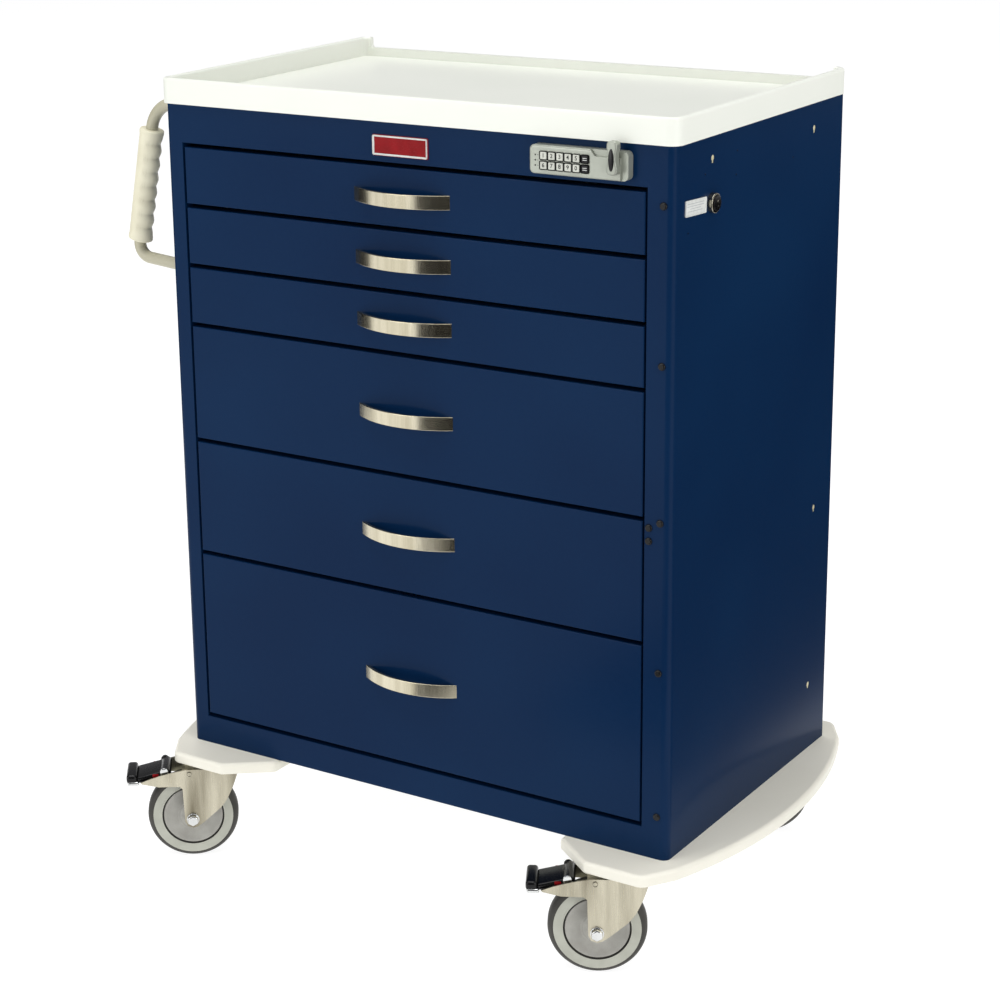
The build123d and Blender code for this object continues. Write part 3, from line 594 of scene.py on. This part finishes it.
class CART_OT_wheel_centres(bpy.types.Operator):
    """Turns the four wheel centres: a dished disc with a rim, a ring and a long hub"""

    bl_idname = "cart.wheel_centres"
    bl_label = "Wheel Centres"

    def execute(self, context):
        deselect_all()
        bpy.ops.mesh.primitive_cylinder_add(
            vertices=context.scene.cart_sizes.wheel_facets, radius=39.3 * MM, depth=24 * MM
        )
        start_edit()
        steps = (
            (38.9 * MM, 13.0 * MM),
            (38.2 * MM, 13.5 * MM),
            (35.6 * MM, 13.5 * MM),
            (34.2 * MM, 12.7 * MM),
            (20.5 * MM, 12.2 * MM),
            (19.6 * MM, 12.8 * MM),
            (17.4 * MM, 12.8 * MM),
            (14.6 * MM, 14.6 * MM),
            (12.2 * MM, 19.0 * MM),
            (11.0 * MM, 23.0 * MM),
            (10.2 * MM, 23.8 * MM),
        )
        for side in (1, -1):
            turn_steps(steps, side)
        bpy.ops.object.mode_set(mode="OBJECT")
        first = bpy.context.active_object
        first.data.materials.append(finish_material("grey_nylon"))
        copies_on_wheels(first, "wheel_centre_", "wheel_")
        return {"FINISHED"}


class CART_OT_handle_grip(bpy.types.Operator):
    """Shapes the vinyl grip: an oval sleeve with finger ridges towards the cabinet"""

    bl_idname = "cart.handle_grip"
    bl_label = "Handle Grip"

    def execute(self, context):
        sizes = context.scene.cart_sizes
        low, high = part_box("handle_grip")
        lean = math.atan2(GRIP_LEAN, GRIP_RISE)
        length = math.hypot(GRIP_LEAN, GRIP_RISE) * MM
        middle = (low + high) / 2
        deselect_all()
        bpy.ops.mesh.primitive_cylinder_add(vertices=64, radius=GRIP_WIDE / 2, depth=length)
        start_edit()
        bpy.ops.mesh.select_mode(type="EDGE")
        select_where(
            "edges", lambda edge: abs(edge.verts[0].co.z - edge.verts[1].co.z) > length / 2
        )
        bpy.ops.mesh.subdivide(number_cuts=GRIP_RINGS - 1)
        bpy.ops.mesh.select_mode(type="VERT")
        bpy.ops.mesh.select_all(action="SELECT")
        bpy.ops.transform.resize(value=(1, GRIP_THICK / GRIP_WIDE, 1), center_override=(0, 0, 0))
        pitch = length / sizes.grip_ridges
        ring = length / GRIP_RINGS
        for step in range(GRIP_RINGS + 1):
            height = -length / 2 + step * ring
            nearest = round((height + length / 2) / pitch)
            if nearest in (0, sizes.grip_ridges):
                continue
            away = abs(height + length / 2 - nearest * pitch) / (pitch / 2)
            depth = sizes.grip_notch * (1 - min(1.0, away)) ** 1.3
            shrink = depth / (GRIP_WIDE / 2)
            # The first range draws the side in along x, and each one after it narrows y a little more
            for start, value in (
                (0.5, (1 - shrink, 1, 1)),
                (2.0, (1, 1 - 0.10 * shrink, 1)),
                (4.0, (1, 1 - 0.14 * shrink, 1)),
                (6.5, (1, 1 - 0.18 * shrink, 1)),
            ):
                select_where(
                    "verts",
                    lambda vert: abs(vert.co.z - height) < ring * 0.4 and vert.co.x > start * MM,
                )
                bpy.ops.transform.resize(value=value, center_override=(0, 0, height))
        for end in (-1, 1):
            tip = end * length / 2
            select_where("verts", lambda vert: abs(vert.co.z - tip) < ring * 2.5)
            bpy.ops.transform.resize(value=(1.04, 1.04, 1), center_override=(0, 0, tip))
        bpy.ops.mesh.select_mode(type="FACE")
        select_where("faces", lambda face: len(face.verts) > 4)
        bpy.ops.mesh.bevel(offset=2.4 * MM, segments=4, affect="EDGES")
        turn = Matrix.Translation(middle) @ Matrix.Rotation(lean, 4, "Y")
        piece = finish_piece(
            "moulded_grip", "pebbled_vinyl", "cart", turn, smooth=50
        )
        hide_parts("handle_grip")
        return {"FINISHED"}


class CART_OT_brake_pedals(bpy.types.Operator):
    """Builds the two brake pedals: toe, chrome edge, ramp, cam and boss"""

    bl_idname = "cart.brake_pedals"
    bl_label = "Brake Pedals"

    def execute(self, context):
        for side in BRAKED:
            corner = "front_" + side
            body = "brake_pedal_" + side
            place = caster_matrix(corner)
            bevelled_block(
                (14 * MM, 49 * MM, 12.5 * MM), (-114.5 * MM, 0, 118.6 * MM), 4.2 * MM, 5
            )
            toe = finish_piece("pedal_toe_" + side, "black_nylon", body, place)
            bevelled_block(
                (15.5 * MM, 49.6 * MM, 5.5 * MM), (-112.8 * MM, 0, 112.6 * MM), 2.2 * MM, 4
            )
            finish_piece("pedal_edge_" + side, "chrome_plate", body, place)
            bevelled_block((42 * MM, 43 * MM, 8 * MM), (-87 * MM, 0, 116.5 * MM), 2.6 * MM, 4)
            start_edit()
            select_where("verts", lambda vert: vert.co.x > 5 * MM and vert.co.z > 0)
            bpy.ops.transform.translate(value=(0, 0, 9 * MM))
            select_where(
                "faces", lambda face: abs(face.normal.y) > 0.9 and face.calc_area() > 1e-4
            )
            bpy.ops.mesh.inset(thickness=1.6 * MM, depth=-0.8 * MM, use_individual=True)
            finish_piece("pedal_ramp_" + side, "black_nylon", body, place)
            disc(7.2 * MM, 42.5 * MM, (-69.5 * MM, 0, 125.2 * MM), (0, 1, 0), 2.0 * MM)
            cam = finish_piece("pedal_cam_" + side, "black_nylon", body, place)
            for end, end_name in ENDS:
                spot = (-71.5 * MM, end * 22.2 * MM, 127.6 * MM)
                disc(5.4 * MM, 1.8 * MM, spot, (0, end, 0), 0.7 * MM)
                finish_piece(f"pedal_boss_{side}_{end_name}", "chrome_plate", body, place)
                spot = (-83 * MM, end * 21.4 * MM, 122.6 * MM)
                bevelled_block((8 * MM, 1.4 * MM, 4.2 * MM), spot, 0.4 * MM, 2)
                finish_piece(f"pedal_mark_{side}_{end_name}", "red_enamel", body, place)
            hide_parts(body)
            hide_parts(body)
        return {"FINISHED"}


class CART_OT_axle_bolts(bpy.types.Operator):
    """Adds a washer and a bright hexagon over each end of each axle, and the fork's rivets"""

    bl_idname = "cart.axle_bolts"
    bl_label = "Axle Bolts"

    def execute(self, context):
        for corner in CORNERS:
            place = caster_matrix(corner)
            fork = "fork_" + corner
            for end, side in ENDS:
                reach = end * WASHER_OUT
                disc(8.4 * MM, 0.9 * MM, (AXLE_X, reach, AXLE_Z), (0, end, 0), 0.3 * MM)
                finish_piece(f"washer_{corner}_{side}", "chrome_plate", fork, place)
                tall = (6.4 if end < 0 else 7.4) * MM
                spot = (AXLE_X, reach + end * tall / 2, AXLE_Z)
                disc(7.7 * MM, tall, spot, (0, end, 0), 1.7 * MM, 6)
                finish_piece(f"axle_hex_{corner}_{side}", "chrome_plate", fork, place)
                spot = (-38.4 * MM, end * RIVET_OUT, 125 * MM)
                disc(3.2 * MM, 0.6 * MM, spot, (0, end, 0), 0.2 * MM, 32)
                start_edit()
                select_where("faces", lambda face: face.normal.z > 0.9 and len(face.verts) > 4)
                bpy.ops.mesh.inset(thickness=1.5 * MM, depth=-0.9 * MM)
                finish_piece(
                    f"fork_rivet_{corner}_{side}", "bright_nickel", fork, place
                )
        return {"FINISHED"}


class CART_OT_key_legends(bpy.types.Operator):
    """Prints a digit on each number key and a bar on each dark key"""

    bl_idname = "cart.key_legends"
    bl_label = "Key Legends"

    def execute(self, context):
        height = context.scene.cart_sizes.digit_height
        for digit in DIGITS:
            low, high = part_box("key_" + digit)
            deselect_all()
            bpy.ops.object.text_add()
            text = bpy.context.active_object
            text.data.body = digit
            text.data.size = height * 1.45
            text.data.extrude = 0.05 * MM
            text.data.offset = 0.12 * MM
            text.data.align_x = "CENTER"
            text.data.align_y = "CENTER"
            bpy.ops.object.convert(target="MESH")
            face = ((low.x + high.x) / 2, low.y, (low.z + high.z) / 2)
            upright = Matrix.Translation(face) @ Matrix.Rotation(math.pi / 2, 4, "X")
            finish_piece(
                "digit_" + digit, "dark_print", "key_" + digit, upright, smooth=None
            )
        for name in ("clear", "enter"):
            low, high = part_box("key_" + name)
            middle = (low + high) / 2
            for line, rise in enumerate((1.1, -1.1)):
                bevelled_block(
                    (5.4 * MM, 0.14 * MM, 0.7 * MM),
                    (middle.x, low.y, middle.z + rise * MM), 0.03 * MM, 1,
                )
                finish_piece(
                    f"{name}_line_{line + 1}", "pale_print", "key_" + name
                )
        return {"FINISHED"}


def ring_frame(name, outer, thickness, width, middle, corner, finish, body):
    """A thin raised frame that faces forwards: a rounded plate with its middle cut away."""
    bevelled_plate(outer, thickness, middle, corner)
    start_edit()
    select_where("faces", lambda face: abs(face.normal.y) > 0.9)
    bpy.ops.mesh.inset(thickness=width)
    bpy.ops.mesh.delete(type="FACE")
    bpy.ops.mesh.select_mode(type="EDGE")
    bpy.ops.mesh.select_non_manifold()
    bpy.ops.mesh.bridge_edge_loops()
    bpy.ops.mesh.select_all(action="SELECT")
    bpy.ops.mesh.normals_make_consistent(inside=False)
    return finish_piece(name, finish, body)


def bevelled_plate(outer, thickness, middle, corner, segments=5):
    """A plate that faces forwards, with its four upright corners rounded."""
    deselect_all()
    wide, high = outer
    bpy.ops.mesh.primitive_cube_add(size=1, location=middle, scale=(wide, thickness, high))
    bpy.ops.object.transform_apply(location=False, rotation=False, scale=True)
    start_edit()
    bpy.ops.mesh.select_mode(type="EDGE")
    select_where(
        "edges", lambda edge: abs(edge.verts[0].co.y - edge.verts[1].co.y) > thickness / 2
    )
    bpy.ops.mesh.bevel(offset=corner, segments=segments, affect="EDGES")
    return bpy.context.active_object


class CART_OT_header_trim(bpy.types.Operator):
    """Adds the plate's border, the key surrounds, the lamps and the lever's inlay"""

    bl_idname = "cart.header_trim"
    bl_label = "Header Trim"

    def execute(self, context):
        low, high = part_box("badge_plate")
        middle = (low + high) / 2
        middle.y = low.y
        size = (high.x - low.x - 1.6 * MM, high.z - low.z - 1.6 * MM)
        ring_frame(
            "plate_border", size, 0.3 * MM, 0.9 * MM, middle, 1.6 * MM,
            "pale_print", "cart",
        )
        lock_low, lock_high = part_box("lock_housing")
        face_y = lock_low.y
        for key in [*DIGITS, "clear", "enter"]:
            low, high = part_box("key_" + key)
            middle = (low + high) / 2
            middle.y = face_y
            ring_frame(
                "surround_" + key, (SURROUND_SIZE, SURROUND_SIZE), 0.5 * MM, 0.5 * MM, middle, 1.8 * MM,
                "dark_print", "cart",
            )
        lock_middle = (lock_low.z + lock_high.z) / 2
        for lamp, rise in enumerate(LAMP_RISES):
            place = (lock_low.x + LAMP_IN, face_y - 0.1 * MM, lock_middle + rise * MM)
            disc(0.9 * MM, 0.5 * MM, place, (0, -1, 0), 0.2 * MM, 24)
            finish_piece(f"lamp_{lamp + 1}", "black_nylon", "cart")
            bar = (place[0] + 3.4 * MM, face_y, place[2])
            bevelled_block((1.8 * MM, 0.12 * MM, 0.5 * MM), bar, 0.02 * MM, 1)
            finish_piece(f"lamp_legend_{lamp + 1}", "dark_print", "cart")
        low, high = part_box("lock_lever")
        face = (low.x + high.x) / 2
        deselect_all()
        bpy.ops.mesh.primitive_cylinder_add(
            vertices=48, radius=3.4 * MM, depth=0.5 * MM, rotation=(math.pi / 2, 0, 0),
            location=(face - 0.2 * MM, low.y, low.z + 17 * MM),
        )
        start_edit()
        bpy.ops.mesh.select_all(action="SELECT")
        bpy.ops.transform.resize(value=(1, 1, 3.7))
        select_where("faces", lambda part: part.normal.z > 0.9)
        bpy.ops.mesh.bevel(offset=0.15 * MM, segments=2, affect="EDGES")
        finish_piece("lever_inlay", "black_nylon", "lock_lever")
        return {"FINISHED"}


class CART_OT_side_trim(bpy.types.Operator):
    """Adds the blank label, the pinholes and the pale plates behind the keyholes, which are painted
    light seen through them
    """

    bl_idname = "cart.side_trim"
    bl_label = "Side Trim"

    def execute(self, context):
        along, high = LABEL_PLACE
        middle = Matrix.Translation((SIDE_X, FRONT_Y + along * MM, high * MM))
        middle = middle @ Matrix.Rotation(math.radians(LABEL_TILT), 4, "X")
        label = middle @ Matrix.Rotation(math.pi / 2, 4, "Z")
        bevelled_plate((50 * MM, 18 * MM), 0.4 * MM, (0, 0, 0), 1.6 * MM)
        finish_piece("side_label", "pale_print", "cart", label)
        for line, (rise, wide) in enumerate(LABEL_LINES):
            size = (wide * MM, 0.1 * MM, 0.6 * MM)
            bevelled_block(size, (0, -0.2 * MM, rise * MM), 0.02 * MM, 1)
            finish_piece(f"label_line_{line + 1}", "grey_powder_coat", "cart", label)
        for pin, (along, high) in enumerate(PINHOLES):
            place = (SIDE_X, FRONT_Y + along * MM, high * MM)
            disc(1.0 * MM, 0.3 * MM, place, (1, 0, 0), 0.1 * MM, 20)
            finish_piece(f"pinhole_{pin + 1}", "black_nylon", "cart")
        for side, side_name, wall in ((1, "right", SHELL_HIGH.x), (-1, "left", SHELL_LOW.x)):
            across = wall - side * 1.1 * MM
            # The plates behind the keyholes are pale as painted light seen through the holes
            for hole, (along, high) in enumerate(KEYHOLES):
                name = f"keyhole_clip_{side_name}_{hole + 1}"
                back = FRONT_Y + along * MM
                disc(3.5 * MM, 1.6 * MM, (across, back, high * MM), (side, 0, 0), 0.5 * MM, 32)
                finish_piece(name + "_head", "yellow_zinc", "cart")
                spot = (across, back, (high - 3.0) * MM)
                bevelled_block((1.2 * MM, 4.2 * MM, 6.0 * MM), spot, 0.4 * MM, 2)
                finish_piece(name + "_slot", "yellow_zinc", "cart")
        low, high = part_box("key_lock_plug")
        middle = (low + high) / 2
        disc(8.9 * MM, 1.2 * MM, (high.x + 0.2 * MM, middle.y, middle.z), (1, 0, 0), 0.5 * MM)
        finish_piece("key_lock_face", "black_nylon", "key_plug")
        spot = (high.x + 0.9 * MM, middle.y, middle.z)
        bevelled_block((0.5 * MM, 1.4 * MM, 7.5 * MM), spot, 0.2 * MM, 2)
        finish_piece("key_slot_edge", "bright_nickel", "key_plug")
        return {"FINISHED"}


class CART_OT_stage(bpy.types.Operator):
    """Lays the floor and sets the lights, the dark cards and the camera"""

    bl_idname = "cart.stage"
    bl_label = "Stage"

    def execute(self, context):
        stage = context.scene.cart_stage
        deselect_all()
        bpy.ops.mesh.primitive_plane_add(size=60, location=(0, 0, 0))
        floor = bpy.context.active_object
        floor.name = "studio_floor"
        bpy.ops.object.transform_apply(location=True, rotation=True, scale=True)
        material = bpy.data.materials.new("matt_floor")
        material.use_nodes = True
        shader = material.node_tree.nodes["Principled BSDF"]
        shader.inputs["Base Color"].default_value = stage.floor_colour
        shader.inputs["Roughness"].default_value = 1.0
        shader.inputs["Specular IOR Level"].default_value = 0.0
        shader.inputs["Emission Color"].default_value = (1.0, 1.0, 1.0, 1.0)
        shader.inputs["Emission Strength"].default_value = stage.floor_glow
        floor.data.materials.append(material)

        world = bpy.data.worlds.new("studio")
        context.scene.world = world
        world.use_nodes = True
        tree = world.node_tree
        direction = add_node(tree, "ShaderNodeTexCoord")
        height = add_node(tree, "ShaderNodeSeparateXYZ", links={0: direction.outputs["Generated"]})
        rise = add_node(
            tree, "ShaderNodeMapRange", {"From Min": 0.03, "From Max": 0.12},
            {"Value": height.outputs["Z"]},
        )
        sky = add_node(
            tree, "ShaderNodeMix",
            {"data_type": "RGBA", 6: linear_colour("#FFFFFF"), 7: linear_colour("#98989A")},
            {0: rise.outputs["Result"]},
        )
        background = tree.nodes["Background"]
        background.inputs["Strength"].default_value = stage.sky_strength
        tree.links.new(sky.outputs[2], background.inputs["Color"])

        softboxes = (
            ("overhead_softbox", (0.0, -0.3, 7.0), (0, 0, 0.8), (6.5, 6.5), stage.overhead_power),
            ("key_softbox", (-1.5, -3.2, 1.7), (0, 0, 0.6), (1.8, 2.2), stage.key_power),
            ("side_softbox", (3.3, -0.9, 1.7), (0.3, 0, 0.5), (0.9, 2.2), stage.side_power),
        )
        for name, place, aim, (wide, high), power in softboxes:
            deselect_all()
            bpy.ops.object.light_add(type="AREA", location=place)
            lamp = bpy.context.active_object
            lamp.name = name
            lamp.data.shape = "RECTANGLE"
            lamp.data.size = wide
            lamp.data.size_y = high
            lamp.data.energy = power
            lamp.rotation_euler = (Vector(place) - Vector(aim)).to_track_quat("Z", "Y").to_euler()

        # Dark cards seen only in reflections. They keep the blue panels dark and draw the dark ends
        # of the pulls
        cards = (
            ("front_card", (0.75, -1.62, 0.45), (0.2, -0.2, 0.45), (1.8, 0.9)),
            ("front_floor_card", (0.6, -1.15, 0.003), (0.6, -1.15, 1.0), (1.5, 0.7)),
            ("left_card", (-2.2, -0.2, 0.9), (0, -0.2, 0.6), (1.6, 2.2)),
            ("side_floor_card", (4.6, 4.2, 0.003), (4.6, 4.2, 1.0), (8.0, 8.2)),
        )
        card_material = bpy.data.materials.new("black_card")
        card_material.use_nodes = True
        card_shader = card_material.node_tree.nodes["Principled BSDF"]
        card_shader.inputs["Base Color"].default_value = linear_colour("#0A0A0B")
        card_shader.inputs["Specular IOR Level"].default_value = 0.0
        for name, place, aim, (wide, high) in cards:
            deselect_all()
            bpy.ops.mesh.primitive_plane_add(size=1)
            card = bpy.context.active_object
            card.name = name
            turn = (Vector(aim) - Vector(place)).to_track_quat("Z", "Y").to_matrix().to_4x4()
            size = Matrix.Diagonal((wide, high, 1, 1))
            card.matrix_world = Matrix.Translation(place) @ turn @ size
            bpy.ops.object.transform_apply(location=True, rotation=True, scale=True)
            card.data.materials.append(card_material)
            card.visible_camera = False
            card.visible_diffuse = False
            card.visible_shadow = False

        camera_data = bpy.data.cameras.new("view")
        camera = bpy.data.objects.new("view", camera_data)
        context.scene.collection.objects.link(camera)
        turn = (
            Matrix.Rotation(math.radians(VIEW_AZIMUTH), 4, "Z")
            @ Matrix.Rotation(math.radians(90 - VIEW_DOWN), 4, "X")
            @ Matrix.Rotation(math.radians(VIEW_ROLL), 4, "Z")
        )
        camera.matrix_world = Matrix.Translation(VIEW_PLACE) @ turn
        camera_data.lens = VIEW_LENS
        camera_data.sensor_width = 36.0
        camera_data.shift_x, camera_data.shift_y = VIEW_SHIFT
        camera_data.clip_end = 200
        context.scene.camera = camera
        context.scene.view_settings.view_transform = "Standard"
        return {"FINISHED"}


class CART_PT_sidebar(bpy.types.Panel):
    """Lists the cart's operators and sizes in the 3D view's sidebar"""

    bl_label = "Medication Cart"
    bl_idname = "CART_PT_sidebar"
    bl_space_type = "VIEW_3D"
    bl_region_type = "UI"
    bl_category = "Cart"

    def draw(self, context):
        for group in (context.scene.cart_sizes, context.scene.cart_stage):
            for name in group.bl_rna.properties.keys():
                if name not in ("rna_type", "name"):
                    self.layout.prop(group, name)
        for operator in OPERATORS:
            self.layout.operator(operator.bl_idname)


OPERATORS = (
    CART_OT_frame_finishes,
    CART_OT_tyres,
    CART_OT_wheel_centres,
    CART_OT_handle_grip,
    CART_OT_brake_pedals,
    CART_OT_axle_bolts,
    CART_OT_key_legends,
    CART_OT_header_trim,
    CART_OT_side_trim,
    CART_OT_stage,
)
CLASSES = (CartSizes, CartStage, *OPERATORS, CART_PT_sidebar)


def register():
    """Registers the classes and hangs the settings on the scene."""
    for item in CLASSES:
        bpy.utils.register_class(item)
    bpy.types.Scene.cart_sizes = bpy.props.PointerProperty(type=CartSizes)
    bpy.types.Scene.cart_stage = bpy.props.PointerProperty(type=CartStage)


def unregister():
    """Takes the settings off the scene and unregisters the classes."""
    del bpy.types.Scene.cart_stage
    del bpy.types.Scene.cart_sizes
    for item in reversed(CLASSES):
        bpy.utils.unregister_class(item)


def main():
    """Makes everything in order."""
    register()
    for operator in OPERATORS:
        group, name = operator.bl_idname.split(".")
        getattr(getattr(bpy.ops, group), name)()


if __name__ == "__main__":
    main()
